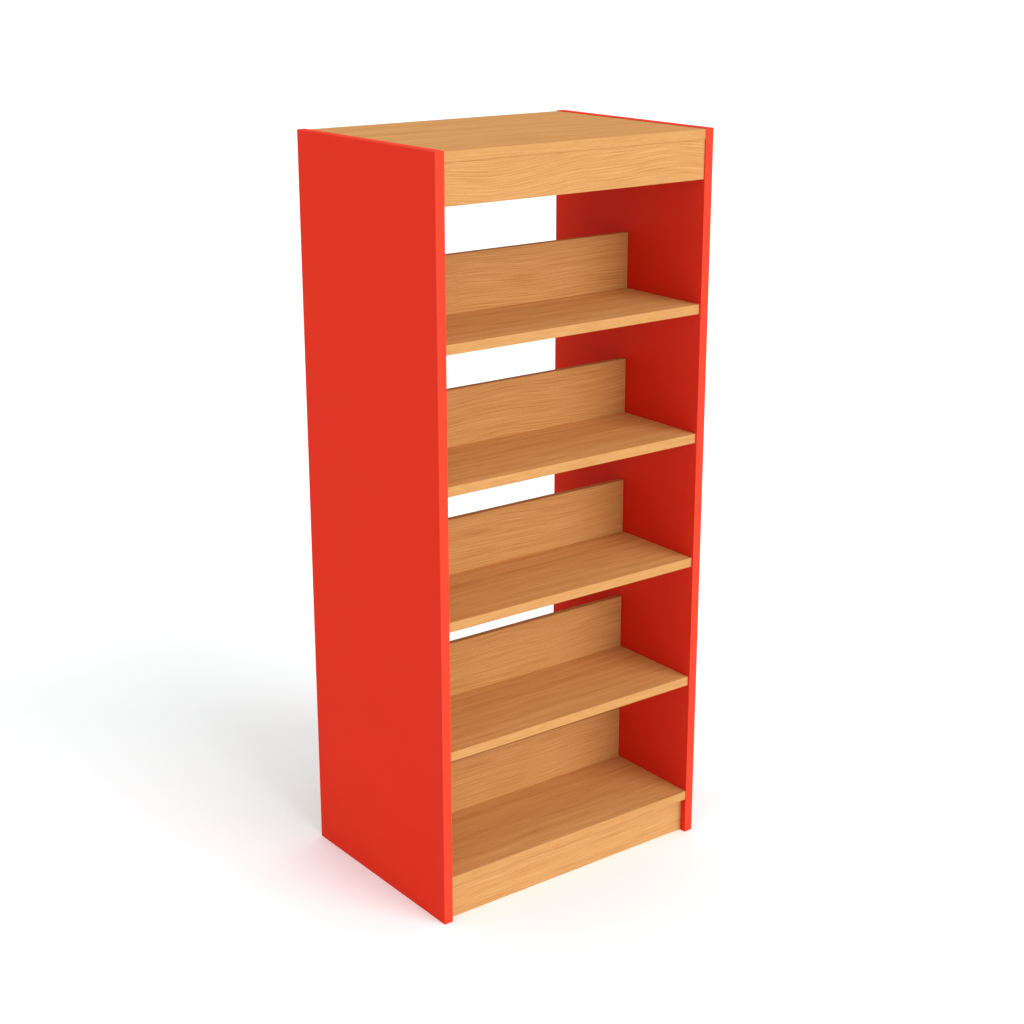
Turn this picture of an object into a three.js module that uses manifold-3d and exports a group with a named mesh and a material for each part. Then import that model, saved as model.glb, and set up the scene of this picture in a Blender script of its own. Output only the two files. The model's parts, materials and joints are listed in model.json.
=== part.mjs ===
// Double sided library shelving of melamine-faced board. Two end panels carry a top with a fascia at each
// open side, a fixed bottom shelf on two plinths, and four loose shelves on hidden pins. Every shelf has a
// book stop along its middle, so that it takes one row of books from each side.
// Millimetres, +Z up, X along the shelves, -Y the front and +Y the back, origin on the floor in the middle.

import * as THREE from "three";
import { mergeVertices } from "three/addons/utils/BufferGeometryUtils.js";
import Module from "manifold-3d";

// Boards
const BOARD = 25; // end panels, top and shelves
const THIN_BOARD = 18; // fascias, plinths and book stops

// The whole unit
const CLEAR_WIDTH = 800; // between the end panels
const DEPTH = 600; // end panels, front edge to back edge
const BAY_HEIGHT = 320; // clear height above each shelf
const LOOSE_SHELVES = 4;
const PLINTH_HEIGHT = 100; // floor to the bottom shelf
const FASCIA_HEIGHT = 100; // below the top
const STOP_HEIGHT = 150; // book stop above its shelf

// How far the boards stand back from the end panels' edges
const REVEAL = 2; // top and bottom shelf, and the top below the end panels' top edges
const SHELF_SETBACK = 6; // loose shelves
const FASCIA_SETBACK = 4;
const PLINTH_SETBACK = 20;

// Grooves that seat the book stops and the plinths
const GROOVE_DEPTH = 6;
const GLUE_GAP = 0.2; // each side of a board in its groove

// Dowels that hold the fixed boards
const DOWEL_DIAMETER = 8;
const DOWEL_LENGTH = 40;
const DOWEL_CHAMFER = 1;
const DOWEL_COVER = 10; // board left behind the end of a dowel's hole
const DOWELS_ACROSS = 4; // at each end of the top and of the bottom shelf
const DOWEL_MARGIN = 80; // outermost dowel to the end panels' edges

// Pins that carry the loose shelves, each in a slot in the underside of the shelf
const PIN_DIAMETER = 8;
const PIN_LENGTH = 28;
const PIN_CHAMFER = 0.8;
const PIN_COVER = 11; // end panel left behind a pin's hole
const PIN_FLAT = 3; // flat seat on top of a pin, above its axis
const PIN_MARGIN = 70; // pin to the shelf's front and back edges
const SLOT_DEPTH = 9;
const SHELF_PLAY = 0.5; // loose shelf to each end panel

// Round pieces
const HOLE_GAP = 0.3; // round a pin or a dowel, and past its end
const ROUND_SIDES = 12;

const FINISHES = {
  red: { color: 0xdc3524, roughness: 0.45, metalness: 0 },
  beech: { color: 0xd49b5f, roughness: 0.5, metalness: 0 },
  dowel: { color: 0xdcb98a, roughness: 0.8, metalness: 0 },
  steel: { color: 0xb9bcc0, roughness: 0.3, metalness: 1 },
};

// Heights, from the floor up
const bottomShelfTop = PLINTH_HEIGHT + BOARD;
const shelfPitch = BAY_HEIGHT + BOARD;
const topUnderside = bottomShelfTop + LOOSE_SHELVES * shelfPitch + BAY_HEIGHT + FASCIA_HEIGHT;
const topSurface = topUnderside + BOARD;
const endPanelHeight = topSurface + REVEAL;

// Half widths and half depths, from the middle
const innerFace = CLEAR_WIDTH / 2;
const edge = DEPTH / 2;
const fixedShelfEdge = edge - REVEAL;
const looseShelfEdge = edge - SHELF_SETBACK;
const looseShelfEnd = innerFace - SHELF_PLAY;
const fasciaMiddle = edge - FASCIA_SETBACK - THIN_BOARD / 2;
const plinthMiddle = edge - PLINTH_SETBACK - THIN_BOARD / 2;
const pinLine = looseShelfEdge - PIN_MARGIN;
const pinAboveUnderside = SLOT_DEPTH - PIN_FLAT;

const wasm = await Module();
wasm.setup();

const ENDS = [
  { name: "left", sign: -1 },
  { name: "right", sign: 1 },
];
const SIDES = [
  { name: "front", sign: -1 },
  { name: "back", sign: 1 },
];

function solidOf(geometry) {
  const bare = geometry.clone();
  bare.deleteAttribute("normal");
  bare.deleteAttribute("uv");
  const merged = mergeVertices(bare, 1e-4);
  const vertProperties = new Float32Array(merged.attributes.position.array);
  const triVerts = new Uint32Array(merged.index.array);
  return new wasm.Manifold(new wasm.Mesh({ numProp: 3, vertProperties, triVerts }));
}

function geometryOf(solid) {
  const made = solid.getMesh();
  const geometry = new THREE.BufferGeometry();
  geometry.setAttribute("position", new THREE.BufferAttribute(made.vertProperties, 3));
  geometry.setIndex(new THREE.BufferAttribute(made.triVerts, 1));
  geometry.computeVertexNormals();
  return geometry;
}

function cut(geometry, cutters) {
  const solid = cutters.reduce((left, cutter) => left.subtract(solidOf(cutter)), solidOf(geometry));
  return geometryOf(solid);
}

// A box from its lowest corner to its highest
function block(low, high) {
  const size = high.map((value, axis) => value - low[axis]);
  const middle = high.map((value, axis) => (value + low[axis]) / 2);
  return new THREE.BoxGeometry(...size).translate(...middle);
}

// A round bar about the Z axis from one height to another, with chamfered ends and a flat on each axis
function bar(diameter, from, to, chamfer) {
  const radius = diameter / 2;
  const profile = [
    [0, from],
    [radius - chamfer, from],
    [radius, from + chamfer],
    [radius, to - chamfer],
    [radius - chamfer, to],
    [0, to],
  ].map(([r, z]) => new THREE.Vector2(r, z));
  const halfFacet = Math.PI / ROUND_SIDES;
  return new THREE.LatheGeometry(profile, ROUND_SIDES, halfFacet).rotateX(Math.PI / 2);
}

// The hole that takes such a bar, with the gap round it and past both its ends
function hole(diameter, from, to) {
  const radius = diameter / 2 + HOLE_GAP;
  const length = to - from + 2 * HOLE_GAP;
  const halfFacet = Math.PI / ROUND_SIDES;
  return new THREE.CylinderGeometry(radius, radius, length, ROUND_SIDES, 1, false, halfFacet)
    .rotateX(Math.PI / 2)
    .translate(0, 0, (from + to) / 2);
}

// Turns a bar or a hole made about Z so that it lies along X, towards the left or the right end
function alongX(geometry, end) {
  return geometry.rotateY((end.sign * Math.PI) / 2);
}

function piece(name, geometry, finish) {
  const mesh = new THREE.Mesh(geometry, new THREE.MeshStandardMaterial(FINISHES[finish]));
  mesh.name = name;
  return mesh;
}

// Dowels lie across the joint between two fixed boards. Each goes square into the face of an end panel or
// of the top, where its hole stops short of the far side by the cover, and into the edge of the other board.
const dowelDepth = BOARD - DOWEL_COVER - HOLE_GAP;
const dowelFrom = dowelDepth - DOWEL_LENGTH;
const dowelReach = edge - DOWEL_MARGIN;
const dowelSpacing = (2 * dowelReach) / (DOWELS_ACROSS - 1);
const dowelRow = Array.from({ length: DOWELS_ACROSS }, (_, i) => i * dowelSpacing - dowelReach);

function dowelsAcross(board, name, z) {
  return dowelRow.map((y, i) => ({ board, name: `${name}_${i + 1}`, y, z }));
}

function dowelsInThinBoards(kind, middle, z) {
  return SIDES.map((side) => {
    const board = `${kind}_${side.name}`;
    return { board, name: `${board}_dowel`, y: side.sign * middle, z };
  });
}

// Where the dowels enter the end panels
const endDowels = [
  ...dowelsAcross("top_panel", "top_dowel", topUnderside + BOARD / 2),
  ...dowelsAcross("bottom_shelf", "bottom_dowel", PLINTH_HEIGHT + BOARD / 2),
  ...dowelsInThinBoards("fascia", fasciaMiddle, topUnderside - FASCIA_HEIGHT / 2),
  ...dowelsInThinBoards("plinth", plinthMiddle, PLINTH_HEIGHT / 2),
];

function endDowelHole(end, place) {
  const made = alongX(hole(DOWEL_DIAMETER, dowelFrom, dowelDepth), end);
  return made.translate(end.sign * innerFace, place.y, place.z);
}

function endDowelHoles(board) {
  const places = endDowels.filter((place) => place.board === board);
  return ENDS.flatMap((end) => places.map((place) => endDowelHole(end, place)));
}

// One more dowel joins the middle of each fascia to the top
function fasciaTopHole(side) {
  return hole(DOWEL_DIAMETER, dowelFrom, dowelDepth).translate(0, side.sign * fasciaMiddle, topUnderside);
}

// Loose shelves rest on pins that stop short of the end panels' outer faces by the cover.
const pinDepth = BOARD - PIN_COVER - HOLE_GAP;
const pinFrom = pinDepth - PIN_LENGTH;
const firstLooseUnderside = bottomShelfTop + BAY_HEIGHT;
const looseUndersides = Array.from(
  { length: LOOSE_SHELVES },
  (_, i) => firstLooseUnderside + i * shelfPitch,
);

function pinHole(end, side, underside) {
  const made = alongX(hole(PIN_DIAMETER, pinFrom, pinDepth), end);
  return made.translate(end.sign * innerFace, side.sign * pinLine, underside + pinAboveUnderside);
}

function pinHoles(end) {
  return looseUndersides.flatMap((underside) => SIDES.map((side) => pinHole(end, side, underside)));
}

function endPanel(end) {
  const inner = end.sign * innerFace;
  const outer = end.sign * (innerFace + BOARD);
  const low = [Math.min(inner, outer), -edge, 0];
  const high = [Math.max(inner, outer), edge, endPanelHeight];
  const dowelHoles = endDowels.map((place) => endDowelHole(end, place));
  return cut(block(low, high), [...dowelHoles, ...pinHoles(end)]);
}

function topPanel() {
  const panel = block([-innerFace, -fixedShelfEdge, topUnderside], [innerFace, fixedShelfEdge, topSurface]);
  return cut(panel, [...endDowelHoles("top_panel"), ...SIDES.map(fasciaTopHole)]);
}

function fascia(side) {
  const middle = side.sign * fasciaMiddle;
  const low = [-innerFace, middle - THIN_BOARD / 2, topUnderside - FASCIA_HEIGHT];
  const high = [innerFace, middle + THIN_BOARD / 2, topUnderside];
  return cut(block(low, high), [...endDowelHoles(`fascia_${side.name}`), fasciaTopHole(side)]);
}

// A groove along X for the edge of a thin board, past both ends of the board that it is cut in
function groove(middle, from, to) {
  const half = THIN_BOARD / 2 + GLUE_GAP;
  return block([-innerFace - BOARD, middle - half, from], [innerFace + BOARD, middle + half, to]);
}

function bottomShelf() {
  const board = block(
    [-innerFace, -fixedShelfEdge, PLINTH_HEIGHT],
    [innerFace, fixedShelfEdge, bottomShelfTop],
  );
  const stopGroove = groove(0, bottomShelfTop - GROOVE_DEPTH, bottomShelfTop + GROOVE_DEPTH);
  const plinthGrooves = SIDES.map((side) =>
    groove(side.sign * plinthMiddle, PLINTH_HEIGHT - GROOVE_DEPTH, PLINTH_HEIGHT + GROOVE_DEPTH),
  );
  return cut(board, [stopGroove, ...plinthGrooves, ...endDowelHoles("bottom_shelf")]);
}

function plinth(side) {
  const middle = side.sign * plinthMiddle;
  const low = [-innerFace, middle - THIN_BOARD / 2, 0];
  const high = [innerFace, middle + THIN_BOARD / 2, PLINTH_HEIGHT + GROOVE_DEPTH];
  return cut(block(low, high), endDowelHoles(`plinth_${side.name}`));
}

// A shelf's own frame has its underside at height 0.
function looseShelf() {
  const board = block([-looseShelfEnd, -looseShelfEdge, 0], [looseShelfEnd, looseShelfEdge, BOARD]);
  const slotHalf = PIN_DIAMETER / 2 + HOLE_GAP;
  const slotReach = innerFace + pinFrom - HOLE_GAP;
  const slots = ENDS.flatMap((end) =>
    SIDES.map((side) => {
      const reach = [end.sign * slotReach, end.sign * (innerFace + BOARD)];
      const middle = side.sign * pinLine;
      return block(
        [Math.min(...reach), middle - slotHalf, -SLOT_DEPTH],
        [Math.max(...reach), middle + slotHalf, SLOT_DEPTH],
      );
    }),
  );
  return cut(board, [groove(0, BOARD - GROOVE_DEPTH, BOARD + GROOVE_DEPTH), ...slots]);
}

function bookStop(halfLength) {
  const low = [-halfLength, -THIN_BOARD / 2, BOARD - GROOVE_DEPTH];
  const high = [halfLength, THIN_BOARD / 2, BOARD + STOP_HEIGHT];
  return block(low, high);
}

function shelfPin(end) {
  const round = alongX(bar(PIN_DIAMETER, pinFrom, pinDepth, PIN_CHAMFER), end);
  const seat = [0, end.sign * pinFrom];
  const aboveSeat = block(
    [Math.min(...seat), -PIN_DIAMETER, PIN_FLAT],
    [Math.max(...seat), PIN_DIAMETER, PIN_DIAMETER],
  );
  return cut(round, [aboveSeat]);
}

// The fixed boards and their dowels
const carcass = new THREE.Group();
for (const end of ENDS) {
  carcass.add(piece(`end_panel_${end.name}`, endPanel(end), "red"));
}
carcass.add(piece("top_panel", topPanel(), "beech"));
carcass.add(piece("bottom_shelf", bottomShelf(), "beech"));
for (const side of SIDES) {
  carcass.add(piece(`fascia_${side.name}`, fascia(side), "beech"));
  carcass.add(piece(`plinth_${side.name}`, plinth(side), "beech"));
}
const bottomStop = piece("book_stop_bottom", bookStop(innerFace), "beech");
bottomStop.position.z = PLINTH_HEIGHT;
carcass.add(bottomStop);

const dowelBar = bar(DOWEL_DIAMETER, dowelFrom, dowelDepth, DOWEL_CHAMFER);
for (const end of ENDS) {
  for (const place of endDowels) {
    const dowel = piece(`${place.name}_${end.name}`, alongX(dowelBar.clone(), end), "dowel");
    dowel.position.set(end.sign * innerFace, place.y, place.z);
    carcass.add(dowel);
  }
}
for (const side of SIDES) {
  const dowel = piece(`fascia_${side.name}_top_dowel`, dowelBar.clone(), "dowel");
  dowel.position.set(0, side.sign * fasciaMiddle, topUnderside);
  carcass.add(dowel);
}

// The loose shelves, each with its book stop, on four pins that stay in the end panels
const shelving = new THREE.Group();
shelving.add(carcass);
looseUndersides.forEach((underside, i) => {
  const shelf = new THREE.Group();
  shelf.position.z = underside;
  shelf.add(piece(`shelf_${i + 1}`, looseShelf(), "beech"));
  shelf.add(piece(`book_stop_${i + 1}`, bookStop(looseShelfEnd), "beech"));
  shelving.add(shelf);
  for (const end of ENDS) {
    for (const side of SIDES) {
      const pin = piece(`shelf_${i + 1}_pin_${end.name}_${side.name}`, shelfPin(end), "steel");
      pin.position.set(end.sign * innerFace, side.sign * pinLine, underside + pinAboveUnderside);
      carcass.add(pin);
    }
  }
});

export default shelving;
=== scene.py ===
import json
import math

import bmesh
import bpy
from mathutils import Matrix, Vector

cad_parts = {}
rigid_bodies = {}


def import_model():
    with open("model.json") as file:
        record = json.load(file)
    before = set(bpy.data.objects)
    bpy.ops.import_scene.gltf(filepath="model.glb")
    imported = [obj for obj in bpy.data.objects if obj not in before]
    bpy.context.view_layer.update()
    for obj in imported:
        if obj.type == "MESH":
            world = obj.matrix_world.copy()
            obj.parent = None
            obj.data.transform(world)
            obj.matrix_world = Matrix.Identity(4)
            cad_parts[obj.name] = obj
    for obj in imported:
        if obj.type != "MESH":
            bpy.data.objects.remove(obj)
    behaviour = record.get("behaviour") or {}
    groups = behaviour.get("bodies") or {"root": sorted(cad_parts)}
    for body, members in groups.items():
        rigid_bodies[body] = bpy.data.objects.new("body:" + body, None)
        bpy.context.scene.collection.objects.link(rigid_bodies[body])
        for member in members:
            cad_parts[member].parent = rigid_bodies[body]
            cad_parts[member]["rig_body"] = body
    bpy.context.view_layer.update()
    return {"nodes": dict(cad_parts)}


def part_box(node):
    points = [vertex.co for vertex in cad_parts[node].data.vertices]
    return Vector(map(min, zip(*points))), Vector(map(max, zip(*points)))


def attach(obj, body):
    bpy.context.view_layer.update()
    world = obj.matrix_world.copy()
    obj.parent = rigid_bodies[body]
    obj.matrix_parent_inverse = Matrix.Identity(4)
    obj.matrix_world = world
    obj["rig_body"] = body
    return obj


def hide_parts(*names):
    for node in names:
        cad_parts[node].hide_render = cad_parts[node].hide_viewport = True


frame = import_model()
scene = bpy.context.scene
scene.view_settings.view_transform = "Standard"

# Studio floor
# A seamless white floor, wide enough to fill the picture, so the unit stands in white with only its own soft
# shadow. To the camera it is a shade cooler and has a little light of its own, which keeps the white clean.
FLOOR_HALF = 120.0
FLOOR_WHITE = (0.96, 0.96, 0.96, 1)
FLOOR_SEEN_WHITE = (0.955, 0.985, 0.99, 1)
FLOOR_GLOW = 0.03


def add_node(tree, kind, inputs=None, **options):
    """Adds a node, sets its options, and fills its inputs with plain values or with links."""
    node = tree.nodes.new(kind)
    for option, value in options.items():
        setattr(node, option, value)
    for socket, value in (inputs or {}).items():
        if isinstance(value, bpy.types.NodeSocket):
            tree.links.new(value, node.inputs[socket])
        else:
            node.inputs[socket].default_value = value
    return node


def calc(tree, operation, *values):
    return add_node(tree, "ShaderNodeMath", dict(enumerate(values)), operation=operation).outputs[0]


def showing_rays(tree):
    """1 for the rays that show the studio itself: straight to the camera, in a gloss or through glass."""
    rays = add_node(tree, "ShaderNodeLightPath").outputs
    straight_or_gloss = calc(tree, "MAXIMUM", rays["Is Camera Ray"], rays["Is Glossy Ray"])
    return calc(tree, "MAXIMUM", straight_or_gloss, rays["Is Transmission Ray"])


def empty_material(name):
    material = bpy.data.materials.new(name)
    material.use_nodes = True
    material.node_tree.nodes.clear()
    return material


floor_paint = empty_material("floor_paint")
tree = floor_paint.node_tree
paint = add_node(tree, "ShaderNodeBsdfDiffuse", {"Color": FLOOR_WHITE})
seen_paint = add_node(tree, "ShaderNodeBsdfDiffuse", {"Color": FLOOR_SEEN_WHITE})
glow = add_node(tree, "ShaderNodeEmission", {"Strength": FLOOR_GLOW})
seen = add_node(tree, "ShaderNodeAddShader", {0: seen_paint.outputs[0], 1: glow.outputs[0]})
floor_mix = {0: showing_rays(tree), 1: paint.outputs[0], 2: seen.outputs[0]}
floor_shader = add_node(tree, "ShaderNodeMixShader", floor_mix)
add_node(tree, "ShaderNodeOutputMaterial", {"Surface": floor_shader.outputs[0]})

corners = [(x * FLOOR_HALF, y * FLOOR_HALF, 0) for x, y in ((-1, -1), (1, -1), (1, 1), (-1, 1))]
floor_mesh = bpy.data.meshes.new("floor")
floor_mesh.from_pydata(corners, [], [(0, 1, 2, 3)])
floor_mesh.materials.append(floor_paint)
floor = bpy.data.objects.new("floor", floor_mesh)
scene.collection.objects.link(floor)

# Studio light
# A white room gives most of the light, more from above than from its sides. One large soft lamp in front, a
# little to the right, makes the front edges the brightest faces and lays the soft shadow back to the left.
ROOM_LIGHT = 0.65
ROOM_RISE = 0.35
BACKDROP_WHITE = 1.0
LAMP_STRENGTH = 2.2
LAMP_ANGLE = math.radians(50)
LAMP_FROM = Vector((0.216, -0.868, 0.446))

world = bpy.data.worlds.new("white_room")
world.use_nodes = True
tree = world.node_tree
tree.nodes.clear()
direction = add_node(tree, "ShaderNodeTexCoord").outputs["Generated"]
upward = add_node(tree, "ShaderNodeSeparateXYZ", {0: direction}).outputs["Z"]
level = calc(tree, "MULTIPLY_ADD", upward, ROOM_RISE, ROOM_LIGHT)
room = add_node(tree, "ShaderNodeBackground", {"Strength": level})
backdrop = add_node(tree, "ShaderNodeBackground", {"Strength": BACKDROP_WHITE})
for white in (room, backdrop):
    white.inputs["Color"].default_value = (1, 1, 1, 1)
room_mix = {0: showing_rays(tree), 1: room.outputs[0], 2: backdrop.outputs[0]}
room_shader = add_node(tree, "ShaderNodeMixShader", room_mix)
add_node(tree, "ShaderNodeOutputWorld", {"Surface": room_shader.outputs[0]})
scene.world = world

lamp_data = bpy.data.lights.new("soft_lamp", "SUN")
lamp_data.energy = LAMP_STRENGTH
lamp_data.angle = LAMP_ANGLE
lamp = bpy.data.objects.new("soft_lamp", lamp_data)
lamp.rotation_euler = LAMP_FROM.to_track_quat("Z", "Y").to_euler()
scene.collection.objects.link(lamp)

# Camera
# It stands in front of the unit's left corner, above its top, and looks down on it. Its lens and place come
# from the straight edges in the photograph.
CAMERA_PLACE = (-2.7526, -3.6560, 2.4213)
CAMERA_PITCH = 0.3002
CAMERA_YAW = 0.6504
PICTURE_SIDE = 1024
FOCAL_PIXELS = 1808.1
AXIS_PIXEL = (515.38, 491.16)

camera_data = bpy.data.cameras.new("camera")
camera_data.lens = FOCAL_PIXELS / PICTURE_SIDE * camera_data.sensor_width
camera_data.shift_x = (PICTURE_SIDE / 2 - AXIS_PIXEL[0]) / PICTURE_SIDE
camera_data.shift_y = (AXIS_PIXEL[1] - PICTURE_SIDE / 2) / PICTURE_SIDE
camera = bpy.data.objects.new("camera", camera_data)
camera.location = CAMERA_PLACE
camera.rotation_euler = (math.pi / 2 - CAMERA_PITCH, 0, -CAMERA_YAW)
scene.collection.objects.link(camera)
scene.camera = camera

# End panels
# Two uprights of 25 mm chipboard, faced with red melamine and edged at the front, back and top with a 2 mm
# red plastic strip. Dowels from the fixed boards and pins for the loose shelves sit in blind holes inside.
FRONT = (1, -1)
BACK = (1, 1)
TOP = (2, 1)
UNDERSIDE = (2, -1)
WELD = 1e-6
CUT_TOLERANCE = WELD / 10
FACE_TOLERANCE = 10 * WELD
FACE_SQUARENESS = 0.99
FLAT_ANGLE = math.radians(0.5)
EDGING_THICKNESS = 0.002
EDGING_ARRIS = 0.0004
EDGING_JOINT = 0.00012
EDGING_SHARP_ANGLE = math.radians(35)
ARRIS_STEPS = 4
PANEL_RED = (0.76, 0.0365, 0.0170, 1)
PANEL_RED_DEEP = (0.74, 0.0345, 0.0160, 1)
# Painted light: the edging reds are a touch lighter than the face reds, for the brighter light that falls on
# the edges.
EDGE_RED_PAINTED_LIGHT = (0.80, 0.054, 0.0272, 1)
EDGE_RED_DEEP_PAINTED_LIGHT = (0.78, 0.051, 0.0257, 1)
RED_RAMP = (0.3, 0.7)
RED_ROUGHNESS = (0.40, 0.50)
CLOUD_SIZE = (0.12, 0.12, 0.12)
PEARL_SIZE = (0.0012, 0.0012, 0.0012)
PEARL_DEPTH = 0.00003
DRAWING_LINE_SIZE = (0.0009, 0.03, 0.25)
EDGING_DEPTH = 0.00002
RESIN_COAT = 0.05
RESIN_ROUGHNESS = 0.35
CHIP_SIZE = 0.0022
CHIP_DEPTH = 0.0002
CHIP_ROUGHNESS = (0.80, 0.95)
CHIP_COLOURS = [
    (0.0, (0.20, 0.11, 0.05, 1)),
    (0.35, (0.42, 0.27, 0.14, 1)),
    (1.0, (0.66, 0.49, 0.30, 1)),
]


def ramp(tree, factor, stops):
    """A colour ramp with one stop for each (place, colour)."""
    node = add_node(tree, "ShaderNodeValToRGB", {"Fac": factor})
    colours = node.color_ramp.elements
    while len(colours) < len(stops):
        colours.new(1.0)
    for colour, (place, value) in zip(colours, stops):
        colour.position = place
        colour.color = value
    return node.outputs["Color"]


def spread(tree, factor, low, high):
    """Stretches a 0 to 1 value to the range from low to high."""
    node = add_node(tree, "ShaderNodeMapRange", {"Value": factor, "To Min": low, "To Max": high})
    return node.outputs["Result"]


def scaled(tree, place, sizes):
    """A place measured in steps of these sizes, in metres, along the three axes."""
    scale = tuple(1 / size for size in sizes)
    return add_node(tree, "ShaderNodeMapping", {"Vector": place, "Scale": scale}).outputs[0]


def noise(tree, place, sizes, detail):
    """Cloudy 0 to 1 noise whose patches have these sizes; more detail lays finer clouds over them."""
    cloud = {"Vector": scaled(tree, place, sizes), "Scale": 1.0, "Detail": detail}
    return add_node(tree, "ShaderNodeTexNoise", cloud).outputs["Fac"]


def surface(material, colour, roughness, height, depth):
    """Finishes a material: a satin face under a thin clear coat, with relief of that depth in metres."""
    tree = material.node_tree
    relief = add_node(tree, "ShaderNodeBump", {"Height": height, "Distance": depth, "Strength": 1.0})
    face = {"Base Color": colour, "Roughness": roughness, "Normal": relief.outputs[0]}
    shader = add_node(tree, "ShaderNodeBsdfPrincipled", face)
    shader.inputs["Specular IOR Level"].default_value = 0.0
    shader.inputs["Coat Weight"].default_value = RESIN_COAT
    shader.inputs["Coat Roughness"].default_value = RESIN_ROUGHNESS
    add_node(tree, "ShaderNodeOutputMaterial", {"Surface": shader.outputs[0]})
    return shader


def object_place(tree):
    return add_node(tree, "ShaderNodeTexCoord").outputs["Object"]


def two_reds(tree, factor, deep, light):
    """The deep red below the middle of a 0 to 1 value, the light red above it, and a soft change between."""
    return ramp(tree, factor, list(zip(RED_RAMP, (deep, light))))


def red_melamine():
    """Pressed red melamine: an even colour with a faint cloud and a fine pearl grain."""
    material = empty_material("red_melamine")
    tree = material.node_tree
    place = object_place(tree)
    cloud = noise(tree, place, CLOUD_SIZE, detail=3.0)
    pearl = noise(tree, place, PEARL_SIZE, detail=1.0)
    colour = two_reds(tree, cloud, PANEL_RED_DEEP, PANEL_RED)
    surface(material, colour, spread(tree, pearl, *RED_ROUGHNESS), pearl, PEARL_DEPTH)
    return material


def red_edging():
    """Extruded red plastic strip with faint drawing lines along it, a touch lighter than the face as painted
    light on the edges.
    """
    material = empty_material("red_edging")
    tree = material.node_tree
    lines = noise(tree, object_place(tree), DRAWING_LINE_SIZE, detail=2.0)
    colour = two_reds(tree, lines, EDGE_RED_DEEP_PAINTED_LIGHT, EDGE_RED_PAINTED_LIGHT)
    surface(material, colour, spread(tree, lines, *RED_ROUGHNESS), lines, EDGING_DEPTH)
    return material


def raw_chipboard():
    """Sawn chipboard, where no melamine or edging covers it: pressed flakes about two millimetres long."""
    material = empty_material("raw_chipboard")
    tree = material.node_tree
    place = scaled(tree, object_place(tree), [CHIP_SIZE] * 3)
    flakes = add_node(tree, "ShaderNodeTexVoronoi", {"Vector": place, "Scale": 1.0, "Randomness": 1.0})
    tone = add_node(tree, "ShaderNodeSeparateColor", {0: flakes.outputs["Color"]}).outputs[0]
    surface(material, ramp(tree, tone, CHIP_COLOURS), spread(tree, tone, *CHIP_ROUGHNESS), tone, CHIP_DEPTH)
    return material


def thickness_axis(node):
    low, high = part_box(node)
    return min(range(3), key=lambda axis: high[axis] - low[axis])


def board_thickness(node):
    low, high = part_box(node)
    axis = thickness_axis(node)
    return high[axis] - low[axis]


def outward_of(side):
    axis, sign = side
    return Vector([sign if i == axis else 0 for i in range(3)])


def board_mesh(node, edged, face_finish):
    """The board's core: its own shape with its holes and slots, cut back where edging covers it.
    The two large faces take the face finish, and what is sawn shows raw chipboard."""
    low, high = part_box(node)
    core = bmesh.new()
    core.from_mesh(frame["nodes"][node].data)
    bmesh.ops.remove_doubles(core, verts=core.verts, dist=WELD)
    bmesh.ops.dissolve_limit(core, angle_limit=FLAT_ANGLE, verts=core.verts, edges=core.edges)
    for side in edged:
        normal = outward_of(side)
        outer = high if side[1] > 0 else low
        bmesh.ops.bisect_plane(
            core,
            geom=[*core.verts, *core.edges, *core.faces],
            dist=CUT_TOLERANCE,
            plane_co=outer - normal * EDGING_THICKNESS,
            plane_no=normal,
            clear_outer=True,
        )
        rim = [edge for edge in core.edges if edge.is_boundary]
        bmesh.ops.holes_fill(core, edges=rim, sides=0)
    bmesh.ops.recalc_face_normals(core, faces=core.faces)
    axis = thickness_axis(node)
    for face in core.faces:
        centre = face.calc_center_median()[axis]
        outermost = min(abs(centre - low[axis]), abs(centre - high[axis])) < FACE_TOLERANCE
        face.material_index = 0 if outermost and abs(face.normal[axis]) > FACE_SQUARENESS else 1
    mesh = bpy.data.meshes.new(f"{node}_board")
    core.to_mesh(mesh)
    core.free()
    mesh.materials.append(face_finish)
    mesh.materials.append(chipboard)
    return mesh


def new_shape_tree(name, inputs, output):
    """A Geometry Nodes tree with these named inputs, and the sockets that they come in by."""
    tree = bpy.data.node_groups.new(name, "GeometryNodeTree")
    for socket, kind in inputs.items():
        tree.interface.new_socket(socket, in_out="INPUT", socket_type=f"NodeSocket{kind}")
    tree.interface.new_socket(output, in_out="OUTPUT", socket_type="NodeSocketGeometry")
    return tree, add_node(tree, "NodeGroupInput").outputs


def end_shape_tree(tree, shape, finish):
    """Ends a tree with its copies made real and given their finish."""
    real = add_node(tree, "GeometryNodeRealizeInstances", {0: shape})
    finished = add_node(tree, "GeometryNodeSetMaterial", {"Geometry": real.outputs[0], "Material": finish})
    add_node(tree, "NodeGroupOutput", {0: finished.outputs[0]})


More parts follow.
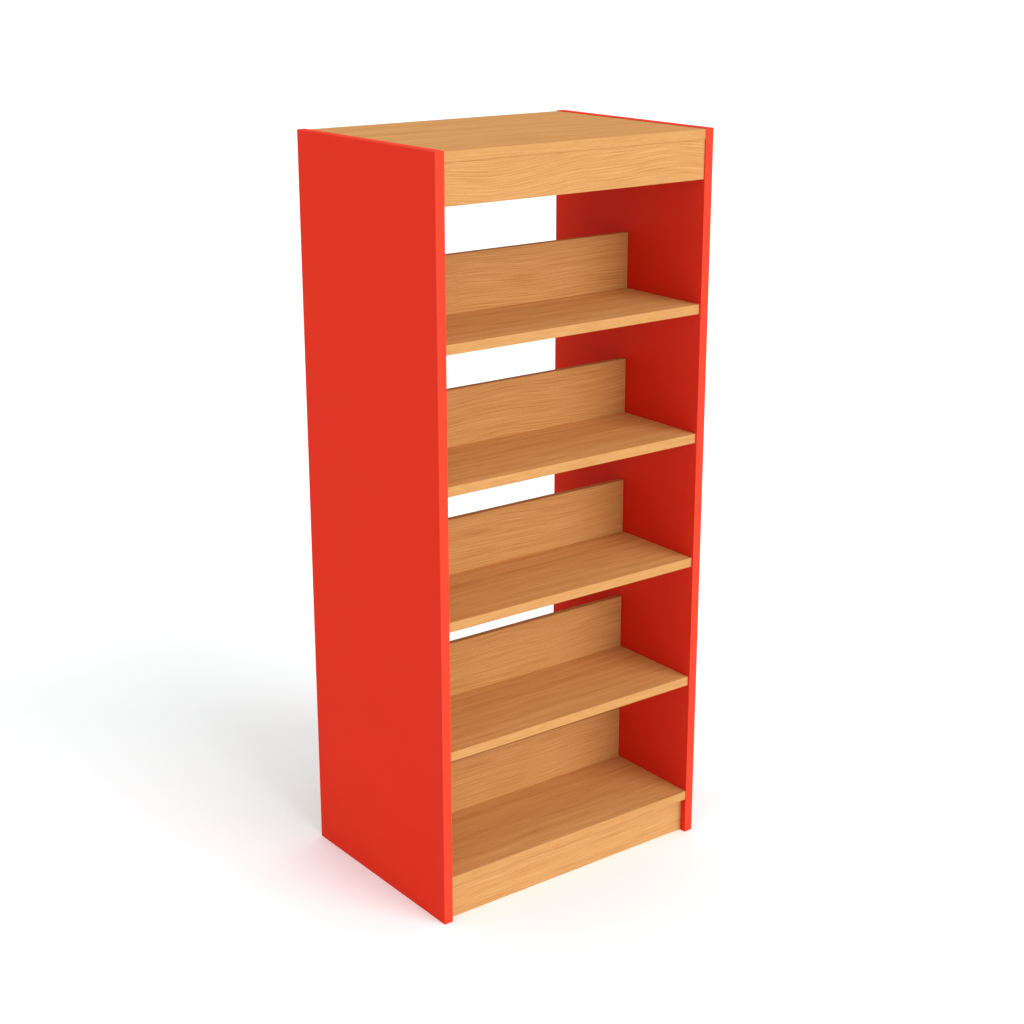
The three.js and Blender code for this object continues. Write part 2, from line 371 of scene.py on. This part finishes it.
def edging_nodes():
    """Sweeps the strip's section, with its two outer arrises rounded, along every line it is given."""
    inputs = {"Lines": "Geometry", "Width": "Float", "Thickness": "Float"}
    inputs |= {"Arris": "Float", "Joint": "Float", "Finish": "Material"}
    tree, given = new_shape_tree("edging_strips", inputs, "Strips")
    paths = add_node(tree, "GeometryNodeMeshToCurve", {0: given["Lines"]})
    outward = add_node(
        tree, "GeometryNodeInputNamedAttribute", {"Name": "outward"}, data_type="FLOAT_VECTOR"
    )
    faced = {"Curve": paths.outputs[0], "Normal": outward.outputs["Attribute"]}
    turned = add_node(tree, "GeometryNodeSetCurveNormal", faced, mode="FREE")
    flat = {"Width": given["Thickness"], "Height": given["Width"]}
    section = add_node(tree, "GeometryNodeCurvePrimitiveQuadrilateral", flat)
    corner = add_node(tree, "GeometryNodeInputPosition")
    across = add_node(tree, "ShaderNodeSeparateXYZ", {0: corner.outputs[0]}).outputs["X"]
    outer = add_node(tree, "FunctionNodeCompare", {0: across, 1: 0.0}, operation="GREATER_THAN")
    radii = {"Switch": outer.outputs[0], "False": given["Joint"], "True": given["Arris"]}
    radius = add_node(tree, "GeometryNodeSwitch", radii, input_type="FLOAT")
    round_off = {"Curve": section.outputs[0], "Count": ARRIS_STEPS, "Radius": radius.outputs[0]}
    rounded = add_node(tree, "GeometryNodeFilletCurve", round_off, mode="POLY")
    sweep = {"Curve": turned.outputs[0], "Profile Curve": rounded.outputs[0], "Fill Caps": True}
    swept = add_node(tree, "GeometryNodeCurveToMesh", sweep)
    end_shape_tree(tree, swept.outputs[0], given["Finish"])
    return tree


def made_by(tree, name, mesh, **values):
    """Runs a node tree on a mesh, with its named inputs set, and returns the result as a plain mesh."""
    source = bpy.data.objects.new(name, mesh)
    scene.collection.objects.link(source)
    modifier = source.modifiers.new(name, "NODES")
    modifier.node_group = tree
    for socket in tree.interface.items_tree:
        if socket.in_out == "INPUT" and socket.name in values:
            modifier[socket.identifier] = values[socket.name]
    graph = bpy.context.evaluated_depsgraph_get()
    made = bpy.data.meshes.new_from_object(source.evaluated_get(graph))
    made.name = name
    source.modifiers.remove(modifier)
    bpy.data.objects.remove(source)
    return made


def edging_mesh(node, lines, finish):
    """One mesh of a board's edging strips, each given as (start, end, outward)."""
    name = f"{node}_edging"
    path = bpy.data.meshes.new(f"{name}_lines")
    ends = [point for start, end, outward in lines for point in (start, end)]
    path.from_pydata(ends, [(2 * i, 2 * i + 1) for i in range(len(lines))], [])
    facing = path.attributes.new("outward", "FLOAT_VECTOR", "POINT")
    for i, (start, end, outward) in enumerate(lines):
        facing.data[2 * i].vector = outward
        facing.data[2 * i + 1].vector = outward
    sizes = {"Width": board_thickness(node), "Thickness": EDGING_THICKNESS}
    sizes |= {"Arris": EDGING_ARRIS, "Joint": EDGING_JOINT}
    mesh = made_by(strip_tree, name, path, Finish=finish, **sizes)
    mesh.shade_smooth()
    mesh.set_sharp_from_angle(angle=EDGING_SHARP_ANGLE)
    return mesh


def edge_line(node, side, along, inset=0.0):
    """The middle line of the edging on one side of a board, running along an axis between its ends."""
    low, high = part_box(node)
    axis, sign = side
    start = (low + high) / 2
    start[axis] = (high if sign > 0 else low)[axis] - sign * EDGING_THICKNESS / 2
    end = start.copy()
    start[along] = low[along] + inset
    end[along] = high[along] - inset
    return start, end, outward_of(side)


def fit(name, mesh, node):
    """Puts a finished mesh in the scene, on the body that carries that node."""
    piece = bpy.data.objects.new(name, mesh)
    scene.collection.objects.link(piece)
    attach(piece, frame["nodes"][node]["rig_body"])
    return piece


red_face = red_melamine()
red_edge = red_edging()
chipboard = raw_chipboard()
strip_tree = edging_nodes()
for node in ("end_panel_left", "end_panel_right"):
    core = board_mesh(node, [FRONT, BACK, TOP], red_face)
    board = fit(f"{node}_board", core, node)
    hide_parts(node)
    lines = [
        edge_line(node, FRONT, along=2),
        edge_line(node, BACK, along=2),
        edge_line(node, TOP, along=1, inset=EDGING_THICKNESS),
    ]
    fit(f"{node}_edging", edging_mesh(node, lines, red_edge), node)

# Top panel
# A board of beech-coloured melamine between the end panels, a hair lower than their top edges, with beech
# edging along its front and back. Glued dowels hold its ends.
TOP_CUT = (0.6, 2.2)
# Painted shade: the top is printed a shade darker than the shelves, though it is the same beech board, for
# the stronger light on its open face.
TOP_TONES_PAINTED_SHADE = [
    (0.0, (0.464, 0.198, 0.058, 1)),
    (0.5, (0.562, 0.273, 0.091, 1)),
    (1.0, (0.633, 0.335, 0.121, 1)),
]
EDGE_TONES = [
    (0.0, (0.458, 0.213, 0.071, 1)),
    (0.5, (0.537, 0.271, 0.097, 1)),
    (1.0, (0.606, 0.321, 0.121, 1)),
]
BEECH_ROUGHNESS = (0.42, 0.55)
BEECH_DEPTH = 0.00003
CROWN_LENGTH = 1.05
RING_WIDTH = 0.0066
BEND_SIZE = (0.36, 0.15, 1)
RIPPLE_SIZE = (0.07, 0.03, 1)
RIPPLE_SHARE = 1 / 16
GOOD_YEARS_SIZE = (0.5, 0.012, 1)
STREAK_SIZE = (0.80, 0.022, 1)
LINE_SIZE = (0.40, 0.0028, 1)
GRAIN_SIZE = (0.14, 0.0016, 1)
FIBRE_SIZE = (0.03, 0.0006, 1)
FLECK_SIZE = (0.005, 0.0008, 1)
FLECK_COLOUR = (0.300, 0.125, 0.038, 1)
FLECK_ABOVE = 0.68
FLECK_STRENGTH = 0.40
EDGE_BLOT_SIZE = (0.08, 0.010, 1)
EDGE_BLOT_CONTRAST = 0.5
EDGE_STREAK_SIZE = (0.20, 0.003, 1)
EDGE_STREAK_CONTRAST = 1.0
EDGE_MOTTLE_SIZE = (0.035, 0.004, 1)
EDGE_MOTTLE_CONTRAST = 0.7
EDGE_FIBRE_CONTRAST = 0.8
LYING_BOARD_FIGURE = {"crown": 0, "wander": 0.010, "streaks": 1.1, "rings": 0.2, "lines": 0.8, "grain": 2.0}


def mix(tree, factor, below, above):
    """The colour between two others, at a 0 to 1 factor."""
    return add_node(tree, "ShaderNodeMix", {0: factor, 6: below, 7: above}, data_type="RGBA").outputs[2]


def grain_place(tree):
    return add_node(tree, "ShaderNodeUVMap", uv_map="grain").outputs[0]


def log_place(tree, crown, wander):
    """Where a point of the print lay in the log: along it, and out from its heart.
    The growth lines rise and fall in long crowns of one height, and wander about them by another."""
    place = grain_place(tree)
    parts = add_node(tree, "ShaderNodeSeparateXYZ", {0: place}).outputs
    wave = calc(tree, "SINE", calc(tree, "MULTIPLY", parts["X"], 2 * math.pi / CROWN_LENGTH))
    bend = spread(tree, noise(tree, place, BEND_SIZE, detail=0.5), -wander, wander)
    shake = wander * RIPPLE_SHARE
    ripple = spread(tree, noise(tree, place, RIPPLE_SIZE, detail=1.5), -shake, shake)
    bent = calc(tree, "ADD", calc(tree, "ADD", parts["Y"], bend), ripple)
    out = calc(tree, "SUBTRACT", bent, calc(tree, "MULTIPLY", wave, crown))
    return add_node(tree, "ShaderNodeCombineXYZ", {"X": parts["X"], "Y": out}).outputs[0]


def growth_rings(tree, log):
    """The year rings, 0 to 1 and back across each, a little wider in good years."""
    out = add_node(tree, "ShaderNodeSeparateXYZ", {0: log}).outputs["Y"]
    good_years = noise(tree, log, GOOD_YEARS_SIZE, detail=1.0)
    years = calc(tree, "MULTIPLY_ADD", out, 1 / RING_WIDTH, good_years)
    return spread(tree, calc(tree, "PINGPONG", years, 0.5), 0.0, 2.0)


def figure(tree, parts):
    """Adds up patterns, each with its contrast, about a middle tone of one half."""
    tone = 0.5 - sum(contrast for pattern, contrast in parts) / 2
    for pattern, contrast in parts:
        tone = calc(tree, "MULTIPLY_ADD", pattern, contrast, tone)
    return tone


def printed_beech(name, tones, crown, wander, streaks, rings, lines, grain):
    """Beech print under melamine resin, with dark flecks.
    Its streaks, rings, lines and fine grain have the contrasts given."""
    material = empty_material(name)
    tree = material.node_tree
    log = log_place(tree, crown, wander)
    parts = [
        (noise(tree, log, STREAK_SIZE, detail=1.0), streaks),
        (growth_rings(tree, log), rings),
        (noise(tree, log, LINE_SIZE, detail=1.0), lines),
        (noise(tree, log, GRAIN_SIZE, detail=1.0), grain),
    ]
    fibre = noise(tree, log, FIBRE_SIZE, detail=2.0)
    fleck = calc(tree, "GREATER_THAN", noise(tree, log, FLECK_SIZE, detail=0.0), FLECK_ABOVE)
    ground = ramp(tree, figure(tree, parts), tones)
    colour = mix(tree, calc(tree, "MULTIPLY", fleck, FLECK_STRENGTH), ground, FLECK_COLOUR)
    surface(material, colour, spread(tree, fibre, *BEECH_ROUGHNESS), fibre, BEECH_DEPTH)
    return material


def beech_edging():
    """Printed plastic strip to match: the same ground with only a soft, blurred figure."""
    material = empty_material("beech_edging")
    tree = material.node_tree
    place = grain_place(tree)
    fibre = noise(tree, place, FIBRE_SIZE, detail=2.0)
    parts = [
        (noise(tree, place, EDGE_BLOT_SIZE, detail=1.0), EDGE_BLOT_CONTRAST),
        (noise(tree, place, EDGE_STREAK_SIZE, detail=1.0), EDGE_STREAK_CONTRAST),
        (noise(tree, place, EDGE_MOTTLE_SIZE, detail=1.0), EDGE_MOTTLE_CONTRAST),
        (fibre, EDGE_FIBRE_CONTRAST),
    ]
    colour = ramp(tree, figure(tree, parts), EDGE_TONES)
    surface(material, colour, spread(tree, fibre, *BEECH_ROUGHNESS), fibre, EDGING_DEPTH)
    return material


def lay_grain(mesh, cut):
    """Maps the print in metres, along the board and across it, from the place where this board was cut."""
    layer = mesh.uv_layers.new(name="grain")
    for face in mesh.polygons:
        upright = abs(face.normal.y) > abs(face.normal.z)
        for corner in face.loop_indices:
            point = mesh.vertices[mesh.loops[corner].vertex_index].co
            across = point.z if upright else point.y
            layer.data[corner].uv = (point.x + cut[0], across + cut[1])
    return mesh


def fit_beech_board(node, face, edged, cut):
    """A beech board and the edging on its edged sides, fitted in the place of its node."""
    board = fit(f"{node}_board", lay_grain(board_mesh(node, edged, face), cut), node)
    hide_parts(node)
    if edged:
        lines = [edge_line(node, side, along=0) for side in edged]
        strips = lay_grain(edging_mesh(node, lines, beech_edge), cut)
        fit(f"{node}_edging", strips, node)


top_beech = printed_beech("top_beech", TOP_TONES_PAINTED_SHADE, **LYING_BOARD_FIGURE)
beech_edge = beech_edging()
fit_beech_board("top_panel", top_beech, [FRONT, BACK], TOP_CUT)

# Fascias
# A strip of thinner board under the front and back edges of the top, set back a little, with its lower edge
# edged. Dowels hold its ends and one more its middle.
FASCIA_CUT = {"fascia_front": (3.1925, 1.7), "fascia_back": (5.3, 2.9)}
# Painted shade: the fascias are printed a shade darker than the book stops, though they are the same thinner
# board, for the full light on their open faces.
FASCIA_TONES_PAINTED_SHADE = [
    (0.0, (0.455, 0.202, 0.063, 1)),
    (0.5, (0.541, 0.272, 0.098, 1)),
    (1.0, (0.607, 0.331, 0.129, 1)),
]

fascia_beech = printed_beech(
    "fascia_beech", FASCIA_TONES_PAINTED_SHADE, crown=0.018, wander=0.026, streaks=0.1, rings=0.35, lines=0.7, grain=2.3
)
for node, cut in FASCIA_CUT.items():
    fit_beech_board(node, fascia_beech, [UNDERSIDE], cut)

# Bottom shelf and plinths
# The fixed lowest shelf, doweled to the end panels, over two set-back plinths that stand on the floor. They
# are glued into grooves in its underside.
BOTTOM_CUT = (1.4, 4.3)
# Painted light: the shelves are printed a shade paler than the top, though they are the same beech board, to
# lighten the shade inside the bays.
SHELF_TONES_PAINTED_LIGHT = [
    (0.0, (0.490, 0.216, 0.065, 1)),
    (0.5, (0.593, 0.299, 0.102, 1)),
    (1.0, (0.669, 0.367, 0.136, 1)),
]
PLINTH_CUT = {"plinth_front": (7.2, 0.9), "plinth_back": (2.6, 6.1)}
PLINTH_TONES = [
    (0.0, (0.468, 0.216, 0.069, 1)),
    (0.5, (0.556, 0.290, 0.108, 1)),
    (1.0, (0.624, 0.352, 0.142, 1)),
]

shelf_beech = printed_beech("shelf_beech", SHELF_TONES_PAINTED_LIGHT, **LYING_BOARD_FIGURE)
plinth_beech = printed_beech(
    "plinth_beech", PLINTH_TONES, crown=0, wander=0.008, streaks=0.6, rings=0.2, lines=0.7, grain=2.3
)
fit_beech_board("bottom_shelf", shelf_beech, [FRONT, BACK], BOTTOM_CUT)
for node, cut in PLINTH_CUT.items():
    fit_beech_board(node, plinth_beech, [], cut)

# Loose shelves
# Four boards that rest on hidden pins, edged front and back. Slots at the ends of the underside let each one
# drop over its pins.
LOOSE_SHELVES = ["shelf_1", "shelf_2", "shelf_3", "shelf_4"]
SHELF_CUT_STEP = (1.9, 0.83)

for i, node in enumerate(LOOSE_SHELVES, 1):
    cut = [i * step for step in SHELF_CUT_STEP]
    fit_beech_board(node, shelf_beech, [FRONT, BACK], cut)

# Book stops
# An upright strip of thinner board glued in a groove along the middle of every shelf, edged on top, so that
# the books of one side do not push out those of the other.
BOOK_STOPS = ["book_stop_bottom", "book_stop_1", "book_stop_2", "book_stop_3", "book_stop_4"]
STOP_CUT_STEP = (2.3, 1.21)
# Painted light: the book stops are printed a shade paler than the fascias, though they are the same thinner
# board, to lighten the shade inside the bays.
STOP_TONES_PAINTED_LIGHT = [
    (0.0, (0.475, 0.212, 0.063, 1)),
    (0.5, (0.565, 0.283, 0.097, 1)),
    (1.0, (0.635, 0.345, 0.126, 1)),
]

stop_beech = printed_beech(
    "stop_beech", STOP_TONES_PAINTED_LIGHT, crown=0, wander=0.018, streaks=0.6, rings=0.35, lines=1.1, grain=2.2
)
for i, node in enumerate(BOOK_STOPS, 1):
    cut = [i * step for step in STOP_CUT_STEP]
    fit_beech_board(node, stop_beech, [TOP], cut)

# Shelf pins
# Bright zinc-plated steel pins in blind holes of the end panels, four to a shelf. Each has a flat seat filed
# on the half that stands out, which the shelf's slot sits on.
PIN_SIDES = 32
PIN_CHAMFER = 0.0008
PIN_SEAT = 0.003
PEG_SHARP_ANGLE = math.radians(25)
ZINC = (0.62, 0.64, 0.66, 1)
ZINC_DARK = (0.50, 0.52, 0.55, 1)
ZINC_ROUGHNESS = (0.22, 0.38)
ZINC_DEPTH = 0.00001
TURNING_MARK_SIZE = (0.00025, 0.004, 0.004)
BLOOM_SIZE = (0.004, 0.004, 0.004)


def zinc_plate():
    """Bright zinc plate with the fine turning marks of the bar under it."""
    material = empty_material("zinc_plate")
    tree = material.node_tree
    place = object_place(tree)
    marks = noise(tree, place, TURNING_MARK_SIZE, detail=2.0)
    bloom = noise(tree, place, BLOOM_SIZE, detail=2.0)
    colour = mix(tree, bloom, ZINC_DARK, ZINC)
    shader = surface(material, colour, spread(tree, marks, *ZINC_ROUGHNESS), marks, ZINC_DEPTH)
    shader.inputs["Metallic"].default_value = 1.0
    return material


def ring_skin(name, rings):
    """A closed mesh through rings of points, each ring the same count, with a flat cap at both ends."""
    count = len(rings[0])
    points = [point for ring in rings for point in ring]
    faces = [tuple(reversed(range(count)))]
    for r in range(len(rings) - 1):
        for i in range(count):
            j = (i + 1) % count
            faces.append((r * count + i, r * count + j, (r + 1) * count + j, (r + 1) * count + i))
    faces.append(tuple(range((len(rings) - 1) * count, len(rings) * count)))
    mesh = bpy.data.meshes.new(name)
    mesh.from_pydata(points, [], faces)
    solid = bmesh.new()
    solid.from_mesh(mesh)
    bmesh.ops.remove_doubles(solid, verts=solid.verts, dist=WELD)
    bmesh.ops.recalc_face_normals(solid, faces=solid.faces)
    solid.to_mesh(mesh)
    solid.free()
    return mesh


def peg_nodes():
    """Sets a copy of one peg at every point, turned as the point says."""
    inputs = {"Points": "Geometry", "Peg": "Object", "Finish": "Material"}
    tree, given = new_shape_tree("pegs_in_place", inputs, "Pegs")
    peg = add_node(tree, "GeometryNodeObjectInfo", {"Object": given["Peg"]}).outputs["Geometry"]
    turn = add_node(tree, "GeometryNodeInputNamedAttribute", {"Name": "turn"}, data_type="FLOAT_VECTOR")
    placed = {"Points": given["Points"], "Instance": peg, "Rotation": turn.outputs["Attribute"]}
    copies = add_node(tree, "GeometryNodeInstanceOnPoints", placed)
    end_shape_tree(tree, copies.outputs[0], given["Finish"])
    return tree


def peg_copies(name, peg_mesh, places, finish):
    """One mesh of copies of a peg, each place given as (point, turn)."""
    points = bpy.data.meshes.new(f"{name}_points")
    points.from_pydata([point for point, turn in places], [], [])
    turns = points.attributes.new("turn", "FLOAT_VECTOR", "POINT")
    for item, (point, turn) in zip(turns.data, places):
        item.vector = turn
    peg_mesh.materials.append(finish)
    peg = bpy.data.objects.new(f"{name}_peg", peg_mesh)
    scene.collection.objects.link(peg)
    mesh = made_by(peg_tree, name, points, Peg=peg, Finish=finish)
    bpy.data.objects.remove(peg)
    mesh.shade_smooth()
    mesh.set_sharp_from_angle(angle=PEG_SHARP_ANGLE)
    return mesh


def pin_mesh(radius, free_end, panel_end):
    """A pin along X with the end panel's face at 0: the seat on its free half, round in the panel."""
    chamfered = radius - PIN_CHAMFER
    rings = [
        (free_end, chamfered, PIN_SEAT),
        (free_end + PIN_CHAMFER, radius, PIN_SEAT),
        (0, radius, PIN_SEAT),
        (0, radius, radius),
        (panel_end - PIN_CHAMFER, radius, radius),
        (panel_end, chamfered, radius),
    ]
    angles = [2 * math.pi * i / PIN_SIDES for i in range(PIN_SIDES)]
    skin = []
    for x, r, seat in rings:
        skin.append([(x, r * math.cos(angle), min(r * math.sin(angle), seat)) for angle in angles])
    return ring_skin("shelf_pin", skin)


peg_tree = peg_nodes()
pin_nodes = [
    f"{shelf}_pin_{end}_{side}"
    for shelf in LOOSE_SHELVES
    for end in ("left", "right")
    for side in ("front", "back")
]
panel_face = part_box("end_panel_right")[0].x
pin_places = []
for node in pin_nodes:
    low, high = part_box(node)
    middle = (low + high) / 2
    side = math.copysign(1, middle.x)
    point = (side * panel_face, middle.y, middle.z)
    pin_places.append((point, (0, 0, 0 if side > 0 else math.pi)))
low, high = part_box("shelf_1_pin_right_front")
pin = pin_mesh((high.z - low.z) / 2, low.x - panel_face, high.x - panel_face)
pin_copies = peg_copies("shelf_pins", pin, pin_places, zinc_plate())
pins = fit("shelf_pins", pin_copies, pin_nodes[0])
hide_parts(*pin_nodes)

# Dowels
# Fluted beech pegs, chamfered at both ends, glued in across the joint between two boards. They hold the top,
# the bottom shelf, the fascias and the plinths, and do not show once the unit is together.
DOWEL_CHAMFER = 0.001
DOWEL_FLUTES = 12
FLUTE_DEPTH = 0.0004
FLUTE_STEPS = 4
DOWEL_PALE = (0.70, 0.50, 0.30, 1)
DOWEL_DARK = (0.52, 0.33, 0.17, 1)
DOWEL_ROUGHNESS = (0.60, 0.80)
DOWEL_FLECK_SIZE = (0.004, 0.0006, 0.0006)
DOWEL_DEPTH = 0.00005


def bare_beech():
    """Bare turned beech, with short dark flecks along the peg."""
    material = empty_material("bare_beech")
    tree = material.node_tree
    fleck = noise(tree, object_place(tree), DOWEL_FLECK_SIZE, detail=3.0)
    colour = mix(tree, fleck, DOWEL_DARK, DOWEL_PALE)
    surface(material, colour, spread(tree, fleck, *DOWEL_ROUGHNESS), fleck, DOWEL_DEPTH)
    return material


def dowel_mesh(radius, length):
    """A fluted peg along X about its middle."""
    count = DOWEL_FLUTES * FLUTE_STEPS
    angles = [2 * math.pi * i / count for i in range(count)]
    half = length / 2
    shoulder = half - DOWEL_CHAMFER
    rings = []
    for x, shrink in ((-half, DOWEL_CHAMFER), (-shoulder, 0), (shoulder, 0), (half, DOWEL_CHAMFER)):
        ring = []
        for angle in angles:
            flute = FLUTE_DEPTH * (0.5 - 0.5 * math.cos(DOWEL_FLUTES * angle))
            r = radius - max(flute, shrink)
            ring.append((x, r * math.cos(angle), r * math.sin(angle)))
        rings.append(ring)
    return ring_skin("dowel", rings)


dowel_nodes = sorted(node for node in frame["nodes"] if "dowel" in node)
dowel_places = []
for node in dowel_nodes:
    low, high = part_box(node)
    upright = high.z - low.z > high.x - low.x
    dowel_places.append(((low + high) / 2, (0, math.pi / 2 if upright else 0, 0)))
low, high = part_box("top_dowel_1_left")
dowel = dowel_mesh((high.z - low.z) / 2, high.x - low.x)
dowel_copies = peg_copies("dowels", dowel, dowel_places, bare_beech())
dowels = fit("dowels", dowel_copies, dowel_nodes[0])
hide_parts(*dowel_nodes)
